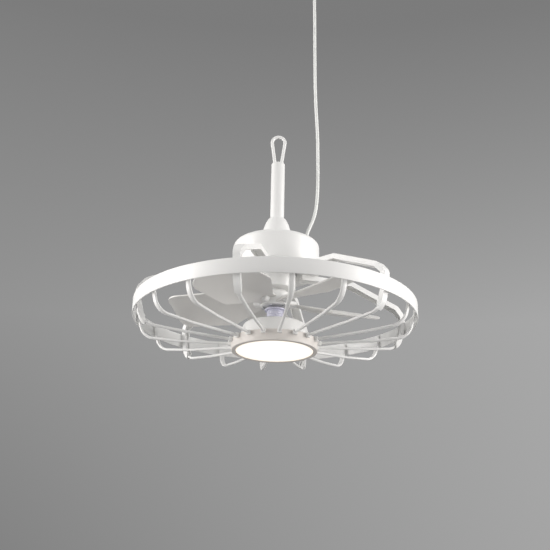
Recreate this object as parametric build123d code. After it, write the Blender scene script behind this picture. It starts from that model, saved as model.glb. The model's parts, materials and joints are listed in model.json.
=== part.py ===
"""Hanging outdoor fan with a caged rotor and a lamp below it.

All heights are first measured from the top edge of the round guard band, and every piece is
then lowered so that the row's origin is the inner top of the hanging loop, where a hook bears.
Millimetres, +Z up, the fan's front along -Y.
"""
from build123d import *
import math
import os

os.makedirs("parts", exist_ok=True)

# Fits between pieces
seat_gap = 0.3
slip_gap = 0.15
running_gap = 0.05

# Guard band
band_outer_r = 265.0
band_wall = 2.5
band_height = 27.4
band_edge_r = 0.6

# Guard ribs, with insets counted from the band's inner face
rib_count = 18
rib_first_azimuth = 5.8
ribs_per_node = 2
rib_width = 5.0
rib_depth = 5.0
rib_root_width = 10.0
rib_top_below_band_top = 3.0
rib_pad_height = 8.0
rib_pad_bend_r = 14.0
rib_corner_inset = 12.3
rib_corner_z = -55.2
rib_bend_r = 32.0
rib_knee_r = 177.5
rib_knee_z = -62.6
rib_knee_bend_r = 60.0
rib_end_z = -67.4
rib_root_end_inset = 12.0
rib_taper_end_inset = 58.0
rib_edge_chamfer = 1.4
rib_block_length = 6.5
rib_block_width = 7.6
rib_block_height = 8.4

# Channel arms
arm_every_ribs = 3
arm_first_rib = 2
arm_width = 20.0
arm_leg_width = 12.0
arm_height = 9.6
arm_wall = 1.6
arm_inner_r = 50.0
arm_shoulder_r = 152.0
arm_shoulder_drop = 1.6
arm_corner_inset = 15.2
arm_corner_z = 30.0
arm_turn_z = 13.0
arm_bend_r = 14.0
arm_taper_top_z = 34.0
arm_taper_end_z = 2.0
arm_foot_inset = 19.8
arm_rib_width = 8.0
arm_screw_radii = (58.0, 72.0)
arm_screw_r = 2.0
arm_screw_head_r = 3.6
arm_screw_head_height = 2.2

# Motor housing
housing_r = 82.5
housing_top_z = 131.0
housing_bottom_z = 71.5
housing_wall = 2.5
housing_edge_r = 9.0
base_plate = 3.5
base_spigot_height = 6.0
base_spigot_wall = 2.4
base_recess_depth = 1.2
base_recess_r = 48.0
gasket_width = 3.0
gasket_height = 1.2
cover_screw_count = 3
cover_screw_r = 1.8
cover_screw_pcd = 136.0
cover_boss_r = 4.6
cover_screw_head_r = 3.4
cover_screw_head_height = 2.0

# Control board
board_outer_r = 62.0
board_inner_r = 26.0
board_thickness = 1.6
board_height_above_base = 14.0
board_post_r = 3.2
board_post_pcd = 100.0

# Stem, bell and hanging loop
stem_r = 13.5
stem_wall = 2.0
stem_top_z = 306.0
stem_tail = 14.0
stem_top_chamfer = 1.6
stem_nut_height = 8.0
stem_nut_flats = 38.0
cap_plug_depth = 14.0
bell_foot_r = 37.0
bell_waist_r = 30.0
bell_waist_z = 147.5
bell_shoulder_r = 23.0
bell_shoulder_z = 172.5
bell_top_z = 184.0
bell_neck_r = 15.6
bell_wall = 3.0
set_screw_r = 2.2
set_screw_z = 148.0
set_screw_azimuth = -18.0
wire_r = 3.3
loop_bow_r = 12.9
loop_bow_z = 355.7
loop_leg_x = 7.0
loop_leg_bottom_z = 293.0
loop_leg_top_z = 312.0
loop_bend_r = 14.0
sleeve_r = 4.0
sleeve_height = 5.2

# Motor
shaft_r = 6.0
shaft_bore_r = 3.8
shaft_top_z = 92.0
shaft_nut_r = 10.0
shaft_nut_height = 6.0
shaft_flange_r = 22.0
shaft_flange_height = 4.0
cup_r = 37.4
cup_wall = 1.8
cup_top_z = 67.0
cup_bottom_z = 36.0
cup_floor = 2.6
cup_lid = 2.4
bearing_r = 10.5
bearing_width = 5.0
bearing_seat_wall = 2.5
magnet_thickness = 2.0
magnet_inset = 6.0
magnet_count = 8
magnet_gap_angle = 4.0
stator_tooth_count = 12
stator_core_r = 15.0
stator_tooth_width = 3.0
stator_shoe_depth = 2.0
stator_height = 14.0
stator_slot_mouth = 2.2
air_gap = 0.8
coil_wall = 1.9
coil_inner_r = 17.0
coil_outer_r = 28.5

# Blades and hub
hub_r = 28.0
hub_top_z = 29.5
hub_bottom_z = 3.0
hub_neck_r = 19.0
hub_edge_r = 2.0
blade_count = 5
blade_first_angle = 20.0
blade_tip_r = 205.0
blade_root_r = 17.0
blade_plane_z = 13.0
blade_pitch = 18.0
blade_thickness = 2.6
blade_camber_r = 210.0
blade_root_chord = 36.0
blade_chord = 106.0
blade_full_chord_r = 92.0
blade_tip_corner = 24.0
blade_heel_corner = 26.0
blade_neck_r = 34.0
blade_neck_corner = 8.0
blade_tip_taper = 0.93
blade_screw_r = 1.7
blade_screw_head_r = 3.4
blade_screw_head_height = 2.0
blade_screw_at_r = 22.5
clip_r = 7.0
clip_length = 14.0

# Lamp
neck_r = 15.0
neck_rib_r = 16.0
neck_rib_height = 2.0
neck_rib_count = 6
neck_flange_r = 20.0
neck_flange_height = 2.4
neck_top_z = -2.0
lamp_top_z = -32.0
lamp_top_r = 58.5
lamp_foot_r = 66.5
lamp_wall = 2.0
lamp_flange_z = -63.0
lamp_flange_height = 3.0
lamp_round_r = 7.0
bezel_r = 80.0
bezel_bottom_z = -83.4
bezel_lip_r = 71.3
bezel_lip_height = 1.8
diffuser_r = 74.6
diffuser_thickness = 2.4
led_board_r = 56.0
led_board_thickness = 1.6
led_count = 12
led_ring_r = 42.0
led_side = 3.6
led_height = 0.9
led_board_drop = 3.0
led_board_bore_r = 9.0
sink_plate = 2.0
sink_bore_r = 14.0
sink_fin_radii = (20.0, 32.0, 44.0)
sink_fin_width = 2.0
lamp_gasket_height = 1.4
lamp_screw_count = 3
lamp_screw_r = 1.5
lamp_screw_at_r = 70.4
lamp_screw_first_angle = 30.0
lamp_screw_length = 13.0
lamp_screw_head_r = 2.8
lamp_screw_head_height = 1.8
lamp_boss_r = 3.4
lamp_boss_above_diffuser = 1.4
lamp_boss_web = 3.0

# Power cord, as x and height in its plane, with its plane's y
cord_r = 3.2
cord_plane_y = 5.0
gland_base_r = 9.0
gland_base_height = 4.0
gland_dome_r = 6.4
gland_dome_height = 8.0
cord_points = [
    (58.5, 143.0), (58.5, 154.5), (63.0, 168.5), (70.0, 184.0), (76.0, 206.0), (79.3, 238.0),
    (80.2, 284.0), (79.9, 334.0), (79.0, 388.0), (75.6, 442.0), (73.9, 497.0), (73.4, 552.0),
    (72.7, 608.0), (72.5, 664.0), (71.6, 704.0), (71.6, 740.0),
]
grip_r = 21.0
grip_height = 18.0
grip_nose_r = 7.0
grip_nose_height = 7.0
grip_screw_spacing = 28.0
grip_screw_r = 2.1

# Values worked out from the sizes above
hook_z = loop_bow_z + loop_bow_r - wire_r
band_inner_r = band_outer_r - band_wall
base_top_z = housing_bottom_z + base_plate
rib_step = 360.0 / rib_count
lamp_rib_stop_r = bezel_r + seat_gap
bezel_bore_r = diffuser_r + slip_gap
cup_inner_r = cup_r - cup_wall
magnet_inner_r = cup_inner_r - magnet_thickness
stator_r = magnet_inner_r - air_gap
stator_mid_z = (cup_top_z + cup_bottom_z) / 2
shaft_bottom_z = lamp_top_z - lamp_wall - shaft_nut_height


def ring(outer, inner, bottom, top):
    """A plain round ring between two heights."""
    blank = Pos(0, 0, bottom) * Cylinder(outer, top - bottom, align=(Align.CENTER, Align.CENTER, Align.MIN))
    bore = Pos(0, 0, bottom - 1) * Cylinder(inner, top - bottom + 2, align=(Align.CENTER, Align.CENTER, Align.MIN))
    return blank - bore


def disc(radius, bottom, top):
    """A plain disc between two heights."""
    return Pos(0, 0, bottom) * Cylinder(radius, top - bottom, align=(Align.CENTER, Align.CENTER, Align.MIN))


def turned(points):
    """A solid of revolution about Z from an outline of radius and height."""
    outline = make_face(Plane.XZ * Polyline(*points, close=True))
    return revolve(outline, Axis.Z)


def at_azimuth(piece, azimuth):
    """Turns a piece modelled along +X to an azimuth counted from the front towards the right."""
    return Rot(0, 0, azimuth - 90) * piece


def slab(outline, width):
    """A piece of constant width from its side outline in radius and height."""
    face = make_face(Plane.XZ * outline)
    return extrude(face, amount=width / 2, both=True)


def beside(points, distance):
    """The polyline at an even distance to the right of another one, as radius and height."""
    legs = []
    for start, end in zip(points, points[1:]):
        length = math.hypot(end[0] - start[0], end[1] - start[1])
        legs.append(((end[1] - start[1]) / length, (start[0] - end[0]) / length))
    moved = []
    for index, (radius, height) in enumerate(points):
        before = legs[max(index - 1, 0)]
        after = legs[min(index, len(legs) - 1)]
        reach = distance / (1 + before[0] * after[0] + before[1] * after[1])
        moved.append((radius + (before[0] + after[0]) * reach, height + (before[1] + after[1]) * reach))
    return moved


def closed_outline(line, bends, depth):
    """The side outline of a bar that lies to the right of a bent line, which only turns right."""
    outer = FilletPolyline(*line, radius=bends)
    inner = FilletPolyline(*beside(line, depth), radius=[bend - depth for bend in bends])
    start = Line(outer @ 0, inner @ 0)
    end = Line(outer @ 1, inner @ 1)
    return Wire.combine([*outer.edges(), *inner.edges(), *start.edges(), *end.edges()])[0]


# Guard band
def make_guard_ring():
    band = ring(band_outer_r, band_inner_r, -band_height, 0)
    rims = [edge for edge in band.edges().filter_by(GeomType.CIRCLE) if edge.radius > band_inner_r + band_wall / 2]
    return fillet(rims, band_edge_r)


def rib_line():
    """The outer side of a rib: a pad on the band's face, then leaning in, round one bend and in to the lamp."""
    face_r = band_inner_r - seat_gap
    return [
        (face_r, -rib_top_below_band_top),
        (face_r, -rib_top_below_band_top - rib_pad_height),
        (band_inner_r - rib_corner_inset, rib_corner_z - rib_depth / 2),
        (rib_knee_r, rib_knee_z - rib_depth / 2),
        (lamp_rib_stop_r, rib_end_z - rib_depth / 2),
    ]


def rib_bends():
    return [rib_pad_bend_r, rib_bend_r, rib_knee_bend_r]


def rib_plan(root_width):
    """A rib from above: wide at its root, and tapering to the bar."""
    half_bar = rib_width / 2
    half_root = root_width / 2
    taper_r = band_inner_r - rib_taper_end_inset
    root_r = band_inner_r - rib_root_end_inset
    return Polyline(
        (0, -half_bar), (taper_r, -half_bar), (root_r, -half_root), (band_outer_r, -half_root),
        (band_outer_r, half_root), (root_r, half_root), (taper_r, half_bar), (0, half_bar), close=True)


def make_rib(line, bends, root_width):
    """A rib along its outer line, with the end block that stops at the lamp."""
    trim = Pos(0, 0, rib_end_z * 2) * extrude(make_face(rib_plan(root_width)), amount=-rib_end_z * 3)
    rib = slab(closed_outline(line, bends, rib_depth), rib_root_width) & trim
    long_edges = [
        edge for edge in rib.edges()
        if abs(edge.center().Y) > rib_width * 0.45 and edge.length > 4 and abs(edge.tangent_at(0.5).Y) < 0.4
    ]
    rib = chamfer(long_edges, rib_edge_chamfer)
    return rib + Pos(lamp_rib_stop_r + rib_block_length / 2, 0, rib_end_z) * Box(
        rib_block_length, rib_block_width, rib_block_height)


def make_plain_rib():
    return make_rib(rib_line(), rib_bends(), rib_root_width)


def make_arm_rib():
    """A rib that lies inside an arm's channel as far as the arm's foot."""
    inside = arm_wall + seat_gap
    line = [*beside(rib_line(), inside)[:-1], rib_line()[-1]]
    bends = [rib_pad_bend_r - inside, rib_bend_r - inside, rib_knee_bend_r]
    return make_rib(line, bends, arm_rib_width)


def arm_line():
    """The outer side of an arm: out from the housing, down the band's face and round the rib's bend."""
    return [
        (arm_inner_r, housing_bottom_z),
        (housing_r, housing_bottom_z),
        (arm_shoulder_r, housing_bottom_z - arm_shoulder_drop),
        (band_inner_r - seat_gap - arm_corner_inset, arm_corner_z),
        (band_inner_r - seat_gap, arm_turn_z),
        *rib_line()[1:4],
    ]


def arm_front(wall):
    """An arm's outline seen along its run, drawn in by a wall."""
    half_run = arm_width / 2 - wall
    half_leg = arm_leg_width / 2 - wall
    top = housing_top_z
    bottom = rib_end_z - arm_height
    outline = Polyline(
        (-half_run, top), (-half_run, arm_taper_top_z), (-half_leg, arm_taper_end_z), (-half_leg, bottom),
        (half_leg, bottom), (half_leg, arm_taper_end_z), (half_run, arm_taper_top_z), (half_run, top), close=True)
    return extrude(make_face(Plane.YZ * outline), amount=band_outer_r)


def make_arm():
    """A channel open below and inwards that carries the band and a rib from the housing."""
    line = arm_line()
    bends = [arm_bend_r] * 4 + rib_bends()[:2]
    body = slab(closed_outline(line, bends, arm_height), arm_width) & arm_front(0)
    hollow_bends = [bend - arm_wall for bend in bends]
    hollow = slab(closed_outline(beside(line, arm_wall), hollow_bends, arm_height), arm_width) & arm_front(arm_wall)
    foot_r = band_inner_r - arm_foot_inset
    cut_height = -rib_end_z
    below_foot = Pos(foot_r, 0, -cut_height / 2) * Box(
        foot_r - rib_knee_r + arm_height, arm_width, cut_height,
        align=(Align.MAX, Align.CENTER, Align.MAX))
    arm = body - hollow - below_foot
    for radius in arm_screw_radii:
        arm -= Pos(radius, 0, housing_bottom_z) * Cylinder(arm_screw_r, 3 * arm_height)
    return arm


# Motor housing
def cover_screw_angle(index):
    """Midway between two arms, in radians from +X."""
    midway = rib_azimuth(arm_first_rib + arm_every_ribs / 2) - 90
    return math.radians(midway + 360 / cover_screw_count * index)


def make_housing_cover():
    outside = disc(housing_r, base_top_z, housing_top_z)
    outside = fillet(outside.edges().group_by(Axis.Z)[-1], housing_edge_r)
    inside = disc(housing_r - housing_wall, base_top_z - 1, housing_top_z - housing_wall)
    inside = fillet(inside.edges().group_by(Axis.Z)[-1], housing_edge_r - housing_wall)
    cover = outside - inside
    cover -= disc(stem_r + slip_gap, housing_top_z - 10, housing_top_z + 1)
    cover -= Pos(cord_points[0][0], cord_plane_y, housing_top_z) * Cylinder(gland_dome_r + slip_gap, 10)
    boss_height = housing_top_z - housing_wall - base_top_z - base_spigot_height
    for index in range(cover_screw_count):
        angle = cover_screw_angle(index)
        place = Pos(cover_screw_pcd / 2 * math.cos(angle), cover_screw_pcd / 2 * math.sin(angle),
                    base_top_z + base_spigot_height)
        boss = place * Cylinder(cover_boss_r, boss_height, align=(Align.CENTER, Align.CENTER, Align.MIN))
        hole = place * Cylinder(cover_screw_r - 0.3, 12, align=(Align.CENTER, Align.CENTER, Align.MIN))
        cover = cover + (boss & outside) - hole
    return cover


def make_housing_base():
    plate = disc(housing_r, housing_bottom_z, base_top_z)
    spigot_outer = housing_r - housing_wall - slip_gap
    spigot = ring(spigot_outer, spigot_outer - base_spigot_wall, base_top_z, base_top_z + base_spigot_height - 1)
    base = plate + spigot
    base -= disc(base_recess_r, housing_bottom_z - 1, housing_bottom_z + base_recess_depth)
    base -= disc(shaft_r + running_gap, housing_bottom_z - 1, base_top_z + 1)
    board_z = base_top_z + board_height_above_base
    for index in range(3):
        angle = math.radians(90 + 120 * index)
        place = Pos(board_post_pcd / 2 * math.cos(angle), board_post_pcd / 2 * math.sin(angle), base_top_z)
        base += place * Cylinder(board_post_r, board_z - base_top_z, align=(Align.CENTER, Align.CENTER, Align.MIN))
    for index in range(cover_screw_count):
        angle = cover_screw_angle(index)
        base -= Pos(cover_screw_pcd / 2 * math.cos(angle), cover_screw_pcd / 2 * math.sin(angle),
                    base_top_z) * Cylinder(cover_screw_r + slip_gap, 20)
    groove_r = spigot_outer - base_spigot_wall - 1.0
    base -= ring(groove_r, groove_r - gasket_width, base_top_z - gasket_height, base_top_z + 1)
    for rib_index in arm_ribs():
        for radius in arm_screw_radii:
            base -= at_azimuth(Pos(radius, 0, housing_bottom_z) * Cylinder(arm_screw_r, 5.0), rib_azimuth(rib_index))
    return base


def make_housing_gasket():
    outer = housing_r - housing_wall - slip_gap - base_spigot_wall - 1.0 - slip_gap
    return ring(outer, outer - gasket_width + 2 * slip_gap, base_top_z - gasket_height, base_top_z)


def make_cover_screws():
    screws = []
    for index in range(cover_screw_count):
        angle = cover_screw_angle(index)
        place = Pos(cover_screw_pcd / 2 * math.cos(angle), cover_screw_pcd / 2 * math.sin(angle), housing_bottom_z)
        shank = place * Cylinder(cover_screw_r - 0.35, base_plate + base_spigot_height + 8,
                                 align=(Align.CENTER, Align.CENTER, Align.MIN))
        head = place * Cylinder(cover_screw_head_r, cover_screw_head_height,
                                align=(Align.CENTER, Align.CENTER, Align.MAX))
        screws.append(shank + head)
    return Compound(screws)


def make_control_board():
    board_z = base_top_z + board_height_above_base
    board = ring(board_outer_r, board_inner_r, board_z, board_z + board_thickness)
    top = board_z + board_thickness
    for angle, radius, length, width, height in (
        (20, 44, 18, 14, 9), (75, 46, 12, 12, 12), (140, 43, 22, 10, 6), (200, 45, 14, 14, 7), (300, 44, 20, 12, 8),
    ):
        board += Rot(0, 0, angle) * Pos(radius, 0, top) * Box(
            width, length, height, align=(Align.CENTER, Align.CENTER, Align.MIN))
    return board


# Stem, bell and loop
def make_stem_tube():
    bottom = housing_top_z - stem_tail
    tube = ring(stem_r, stem_r - stem_wall, bottom, stem_top_z)
    tube = chamfer(tube.edges().filter_by(GeomType.CIRCLE).sort_by(Axis.Z)[-1:], stem_wall * 0.3)
    return tube


def make_stem_cap():
    cap = disc(stem_r - stem_wall - slip_gap, stem_top_z - cap_plug_depth, stem_top_z)
    cap = chamfer(cap.edges().group_by(Axis.Z)[-1], stem_top_chamfer * 0.5)
    for side in (-1, 1):
        cap -= Pos(side * loop_leg_x, 0, loop_leg_bottom_z) * Cylinder(
            wire_r + running_gap, stem_top_z - loop_leg_bottom_z + 1, align=(Align.CENTER, Align.CENTER, Align.MIN))
    return cap


def make_stem_nut():
    top = housing_top_z - housing_wall
    nut = Pos(0, 0, top - stem_nut_height) * extrude(
        RegularPolygon(stem_nut_flats / 2, 6, major_radius=False), amount=stem_nut_height)
    return nut - disc(stem_r + running_gap, top - stem_nut_height - 1, top + 1)


def make_bell_collar():
    bore = stem_r + slip_gap
    outline = [
        (bore, housing_top_z), (bell_foot_r, housing_top_z), (bell_foot_r - 0.6, housing_top_z + 3),
        (bell_waist_r, bell_waist_z), (bell_shoulder_r, bell_shoulder_z),
        (bell_neck_r + 2.2, bell_top_z - 1.6), (bell_neck_r, bell_top_z), (bore, bell_top_z),
    ]
    bell = turned(outline)
    hollow = turned([
        (bore - 1, housing_top_z - 1), (bell_foot_r - bell_wall, housing_top_z - 1),
        (bell_waist_r - bell_wall, bell_waist_z), (bell_shoulder_r - bell_wall, bell_shoulder_z - bell_wall),
        (bore - 1, bell_shoulder_z - bell_wall),
    ])
    bell -= hollow
    screw_hole = Rot(0, 0, set_screw_azimuth - 90) * Pos(0, 0, set_screw_z) * Rot(0, 90, 0) * Cylinder(
        set_screw_r, bell_foot_r * 2, align=(Align.CENTER, Align.CENTER, Align.MIN))
    return bell - screw_hole


def make_collar_set_screw():
    length = bell_waist_r - 2.4 - stem_r - running_gap
    return Rot(0, 0, set_screw_azimuth - 90) * Pos(stem_r + running_gap, 0, set_screw_z) * Rot(0, 90, 0) * Cylinder(
        set_screw_r - 0.2, length, align=(Align.CENTER, Align.CENTER, Align.MIN))


def make_hanging_loop():
    """Bent wire: two upright legs, two leaning flanks and a half-round bow."""
    centre = Vector(0, 0, loop_bow_z)
    foot = Vector(loop_leg_x, 0, loop_leg_top_z)
    reach = foot - centre
    distance = reach.length
    spread = math.acos(loop_bow_r / distance)
    heading = math.atan2(reach.Z, reach.X) + spread
    tangent = Vector(loop_bow_r * math.cos(heading), 0, loop_bow_z + loop_bow_r * math.sin(heading))
    left_tangent = Vector(-tangent.X, 0, tangent.Z)
    top = Vector(0, 0, loop_bow_z + loop_bow_r)
    right = FilletPolyline((loop_leg_x, 0, loop_leg_bottom_z), foot, tangent, radius=loop_bend_r)
    bow = ThreePointArc(tangent, top, left_tangent)
    left = FilletPolyline(left_tangent, (-loop_leg_x, 0, loop_leg_top_z), (-loop_leg_x, 0, loop_leg_bottom_z), radius=loop_bend_r)
    path = Wire.combine([*right.edges(), *bow.edges(), *left.edges()])[0]
    section = Plane(origin=path @ 0, z_dir=path % 0) * Circle(wire_r)
    return sweep(section, path=path)


def make_loop_sleeves():
    sleeves = []
    for side in (-1, 1):
        sleeve = ring(sleeve_r, wire_r + running_gap, stem_top_z, stem_top_z + sleeve_height)
        sleeves.append(Pos(side * loop_leg_x, 0, 0) * sleeve)
    return Compound(sleeves)


# Motor
def make_motor_shaft():
    shaft = disc(shaft_r, shaft_bottom_z, shaft_top_z)
    shaft += disc(shaft_flange_r, base_top_z + running_gap, base_top_z + shaft_flange_height)
    return shaft - disc(shaft_bore_r, shaft_bottom_z - 1, shaft_top_z + 1)


def make_shaft_nut():
    nut = Pos(0, 0, shaft_bottom_z) * extrude(
        RegularPolygon(shaft_nut_r, 6, major_radius=False), amount=shaft_nut_height)
    return nut - disc(shaft_r + running_gap, shaft_bottom_z - 1, lamp_top_z)


def make_bearing(bottom):
    bearing = ring(bearing_r, shaft_r + running_gap, bottom, bottom + bearing_width)
    shield = ring(bearing_r - 1.3, shaft_r + 1.4, bottom - 1, bottom + 0.4)
    return bearing - shield - Pos(0, 0, bearing_width + 0.6) * shield


def seat_r():
    return bearing_r + running_gap


def make_rotor_cup():
    cup = ring(cup_r, cup_inner_r, cup_bottom_z, cup_top_z - cup_lid)
    cup += ring(cup_r, seat_r(), cup_bottom_z, cup_bottom_z + cup_floor)
    cup += ring(seat_r() + bearing_seat_wall, seat_r(), cup_bottom_z, cup_bottom_z + bearing_width + 0.6)
    rim = [edge for edge in cup.edges().filter_by(GeomType.CIRCLE).group_by(Axis.Z)[0] if edge.radius > cup_inner_r]
    return fillet(rim, 1.2)


def make_rotor_lid():
    lid = ring(cup_r, shaft_r + 1.2, cup_top_z - cup_lid, cup_top_z)
    lid += ring(seat_r() + bearing_seat_wall, seat_r(), cup_top_z - cup_lid - bearing_width - 0.2, cup_top_z - cup_lid)
    rim = [edge for edge in lid.edges().filter_by(GeomType.CIRCLE).group_by(Axis.Z)[-1] if edge.radius > cup_inner_r]
    return fillet(rim, 1.2)


def make_magnet_ring():
    magnets = []
    for index in range(magnet_count):
        sector = ring(cup_inner_r - running_gap, magnet_inner_r, cup_bottom_z + magnet_inset, cup_top_z - magnet_inset)
        far = cup_r * 2
        wedge_angle = 360 / magnet_count - magnet_gap_angle
        half = math.radians(wedge_angle / 2)
        plan = Polyline((0, 0), (far * math.cos(half), -far * math.sin(half)),
                        (far * math.cos(half), far * math.sin(half)), close=True)
        wedge = Pos(0, 0, cup_bottom_z) * extrude(make_face(plan), amount=cup_top_z - cup_bottom_z)
        magnets.append(Rot(0, 0, 360 / magnet_count * index) * (sector & wedge))
    return Compound(magnets)


def make_stator_core():
    bottom = stator_mid_z - stator_height / 2
    top = stator_mid_z + stator_height / 2
    core = ring(stator_core_r, shaft_r + running_gap, bottom, top)
    shoes = ring(stator_r, stator_r - stator_shoe_depth, bottom, top)
    for index in range(stator_tooth_count):
        tooth = Pos((stator_core_r + stator_r - stator_shoe_depth) / 2, 0, stator_mid_z) * Box(
            stator_r - stator_shoe_depth - stator_core_r + 1.0, stator_tooth_width, stator_height)
        core += Rot(0, 0, 360 / stator_tooth_count * index) * tooth
    core += shoes
    for index in range(stator_tooth_count):
        mouth = Pos(stator_r, 0, stator_mid_z) * Box(stator_shoe_depth * 3, stator_slot_mouth, stator_height + 2)
        core -= Rot(0, 0, 360 / stator_tooth_count * (index + 0.5)) * mouth
    return core


def make_stator_windings():
    coils = []
    length = coil_outer_r - coil_inner_r
    for index in range(stator_tooth_count):
        inside = stator_tooth_width + 2 * slip_gap
        tall = stator_height + 2 * slip_gap
        coil = Box(length, inside + 2 * coil_wall * 0.8, tall + 2 * coil_wall) - Box(length + 2, inside, tall)
        coils.append(Rot(0, 0, 360 / stator_tooth_count * index) * Pos(
            (coil_outer_r + coil_inner_r) / 2, 0, stator_mid_z) * coil)
    return Compound(coils)


# Hub and blades
def blade_frame(piece):
    """Sets a blade modelled flat along +X at its height and pitch."""
    return Pos(0, 0, blade_plane_z) * Rot(blade_pitch, 0, 0) * piece


def blade_sheet(thickness, reach):
    """A long cambered strip, arched across the chord."""
    sheet = Pos(0, 0, -blade_camber_r) * Rot(0, 90, 0) * (
        Cylinder(blade_camber_r + thickness / 2, reach, align=(Align.CENTER, Align.CENTER, Align.MIN))
        - Cylinder(blade_camber_r - thickness / 2, reach, align=(Align.CENTER, Align.CENTER, Align.MIN)))
    keep = Box(reach, blade_chord * 1.4, blade_camber_r, align=(Align.MIN, Align.CENTER, Align.CENTER))
    return sheet & keep


def blade_plan():
    half_root = blade_root_chord / 2
    half = blade_chord / 2
    corners = Polyline(
        (blade_root_r, -half_root), (blade_neck_r, -half_root), (blade_full_chord_r, -half),
        (blade_tip_r, -half * blade_tip_taper), (blade_tip_r, half * blade_tip_taper), (blade_full_chord_r, half),
        (blade_neck_r, half_root), (blade_root_r, half_root), close=True,
    )
    face = make_face(corners)
    tips = [vertex for vertex in face.vertices() if vertex.X > blade_tip_r - 1]
    face = fillet(tips, blade_tip_corner)
    heels = [vertex for vertex in face.vertices() if abs(vertex.X - blade_full_chord_r) < 1]
    face = fillet(heels, blade_heel_corner)
    necks = [vertex for vertex in face.vertices() if abs(vertex.X - blade_neck_r) < 1]
    return fillet(necks, blade_neck_corner)


def make_blade():
    stamp = Pos(0, 0, -blade_chord) * extrude(blade_plan(), amount=2 * blade_chord)
    blade = blade_sheet(blade_thickness, blade_tip_r + 1) & stamp
    clip = Pos(hub_r + seat_gap + clip_length / 2, 0, 0) * Rot(0, 90, 0) * Cylinder(clip_r, clip_length)
    clip = fillet(clip.edges().group_by(Axis.X)[-1], 4.0)
    blade = blade + clip
    hole = Pos(blade_screw_at_r, 0, 0) * Cylinder(blade_screw_r + slip_gap, 20)
    return blade_frame(blade - hole)


def make_blade_hub():
    hub = disc(hub_r, hub_bottom_z, hub_top_z)
    hub = fillet(hub.edges(), hub_edge_r)
    hub += disc(hub_neck_r, hub_top_z - 1, cup_bottom_z)
    hub -= disc(shaft_r + 1.2, hub_bottom_z - 1, cup_bottom_z + 1)
    slot = blade_sheet(blade_thickness + 2 * slip_gap, hub_r + 4) & Pos(blade_root_r - slip_gap, 0, 0) * Box(
        hub_r, blade_root_chord + 2 * slip_gap, blade_chord, align=(Align.MIN, Align.CENTER, Align.CENTER))
    hole = Pos(blade_screw_at_r, 0, 0) * Cylinder(
        blade_screw_r + slip_gap, 2 * blade_plane_z, align=(Align.CENTER, Align.CENTER, Align.MAX))
    for index in range(blade_count):
        turn = Rot(0, 0, blade_first_angle + 360 / blade_count * index)
        hub -= turn * blade_frame(slot)
        hub -= turn * blade_frame(hole)
    return hub


def make_blade_screws():
    screws = []
    for index in range(blade_count):
        turn = Rot(0, 0, blade_first_angle + 360 / blade_count * index)
        depth = (blade_plane_z - hub_bottom_z) / math.cos(math.radians(blade_pitch)) + blade_screw_head_r * 0.36
        shank = Pos(blade_screw_at_r, 0, 0) * Cylinder(
            blade_screw_r, depth, align=(Align.CENTER, Align.CENTER, Align.MAX))
        head = Pos(blade_screw_at_r, 0, -depth) * Cylinder(
            blade_screw_head_r, blade_screw_head_height, align=(Align.CENTER, Align.CENTER, Align.MAX))
        screws.append(turn * blade_frame(shank + head))
    return Compound(screws)


# Lamp
def make_lamp_neck():
    top = neck_top_z
    neck = ring(neck_r, shaft_r + slip_gap, lamp_top_z, top)
    neck += ring(neck_flange_r, shaft_r + slip_gap, top - neck_flange_height, top)
    step = (top - neck_flange_height - lamp_top_z) / neck_rib_count
    for index in range(neck_rib_count):
        height = lamp_top_z + step * (index + 0.25)
        neck += ring(neck_rib_r, neck_r - 1, height, height + neck_rib_height)
    return neck


def make_lamp_housing():
    shell = turned([
        (shaft_r + running_gap, lamp_top_z), (lamp_top_r - lamp_round_r, lamp_top_z),
        (lamp_top_r - 1.5, lamp_top_z - 1.8), (lamp_top_r + 0.6, lamp_top_z - lamp_round_r),
        (lamp_foot_r, lamp_flange_z), (diffuser_r, lamp_flange_z),
        (diffuser_r, lamp_flange_z - lamp_flange_height),
        (lamp_foot_r - lamp_wall - 0.4, lamp_flange_z - lamp_flange_height),
        (lamp_top_r - lamp_wall + 0.6, lamp_top_z - lamp_round_r - 1),
        (lamp_top_r - lamp_round_r - 1, lamp_top_z - lamp_wall),
        (shaft_r + running_gap, lamp_top_z - lamp_wall),
    ])
    for index in range(lamp_screw_count):
        angle = math.radians(lamp_screw_first_angle + 360 / lamp_screw_count * index)
        shell -= Pos(lamp_screw_at_r * math.cos(angle), lamp_screw_at_r * math.sin(angle),
                     lamp_flange_z) * Cylinder(lamp_screw_r + slip_gap, 20)
    return shell


def make_lamp_bezel():
    top = lamp_flange_z
    bezel = turned([
        (bezel_r, top), (bezel_r, bezel_bottom_z + 1.2), (bezel_r - 1.2, bezel_bottom_z), (bezel_lip_r, bezel_bottom_z),
        (bezel_lip_r, bezel_bottom_z + bezel_lip_height), (bezel_bore_r, bezel_bottom_z + bezel_lip_height),
        (bezel_bore_r, top),
    ])
    boss_bottom = bezel_bottom_z + bezel_lip_height + diffuser_thickness + lamp_boss_above_diffuser
    boss_height = top - lamp_flange_height - lamp_gasket_height - boss_bottom
    for index in range(lamp_screw_count):
        angle = math.radians(lamp_screw_first_angle + 360 / lamp_screw_count * index)
        place = Pos(lamp_screw_at_r * math.cos(angle), lamp_screw_at_r * math.sin(angle), boss_bottom)
        boss = place * Cylinder(lamp_boss_r, boss_height, align=(Align.CENTER, Align.CENTER, Align.MIN))
        web = Rot(0, 0, math.degrees(angle)) * Pos(
            (lamp_screw_at_r + bezel_bore_r) / 2 + 1.0, 0, boss_bottom) * Box(
            bezel_bore_r - lamp_screw_at_r + 2.0, lamp_boss_web, boss_height,
            align=(Align.CENTER, Align.CENTER, Align.MIN))
        bezel += boss + web
        bezel -= place * Cylinder(
            lamp_screw_r - 0.2, boss_height + 1, align=(Align.CENTER, Align.CENTER, Align.MIN))
    return bezel


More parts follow.
